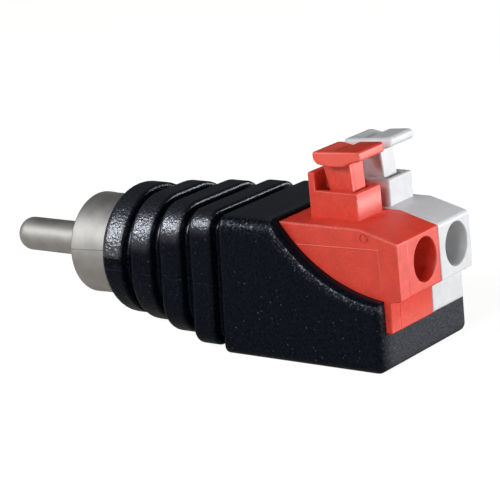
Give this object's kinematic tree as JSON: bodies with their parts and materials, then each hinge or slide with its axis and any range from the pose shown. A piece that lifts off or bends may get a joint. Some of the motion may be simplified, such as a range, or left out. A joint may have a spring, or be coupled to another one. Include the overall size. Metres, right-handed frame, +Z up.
{
  "type": "phono plug to wire terminal adapter",
  "caption": "Phono plug adapter: a round metal pin and shell in a ringed black housing that ends in red and white push-button spring terminals for bare wires.",
  "frame": {"origin": "on the plug's axis, in the plane of the shell's mouth", "axes": "-X along the plug's pin towards its tip, +X towards the wire entries, +Z up through the push buttons, +Y from the red terminal to the white one"},
  "size_m": [0.0472, 0.0138, 0.0186],
  "materials": {
    "housing": "fine spark-eroded grain, soft black moulding",
    "nickel": "satin nickel plate",
    "insulator": "natural moulding",
    "copper": "stranded copper",
    "red_jacket": "extruded insulation",
    "black_jacket": "extruded insulation",
    "solder": "bright solder",
    "red": "plain moulding with a slight sheen",
    "white": "plain moulding with a slight sheen",
    "contact": "tinned strip",
    "spring_steel": "bright spring strip"
  },
  "bodies": {
    "base": {"housing": "housing", "rca_shell": "nickel", "centre_pin": "nickel", "plug_insulator": "insulator", "signal_core": "copper", "signal_jacket": "red_jacket", "ground_core": "copper", "ground_jacket": "black_jacket", "pin_solder": "solder", "lug_solder": "solder", "red_tail_solder": "solder", "white_tail_solder": "solder", "red_body": "red", "red_end_plate": "red", "white_body": "white", "red_contact_bar": "contact", "white_contact_bar": "contact", "red_spring": "spring_steel", "white_spring": "spring_steel"},
    "red_push": {"red_button": "red"},
    "white_push": {"white_button": "white"}
  },
  "joints": [
    {"name": "red_press", "type": "slide", "parent": "base", "child": "red_push", "axis": [0, 0, -1], "range_m": [0, 0.001], "stiffness_N_per_m": 3000, "deforming": ["red_spring"]},
    {"name": "white_press", "type": "slide", "parent": "base", "child": "white_push", "axis": [0, 0, -1], "range_m": [0, 0.001], "stiffness_N_per_m": 3000, "deforming": ["white_spring"]}
  ]
}
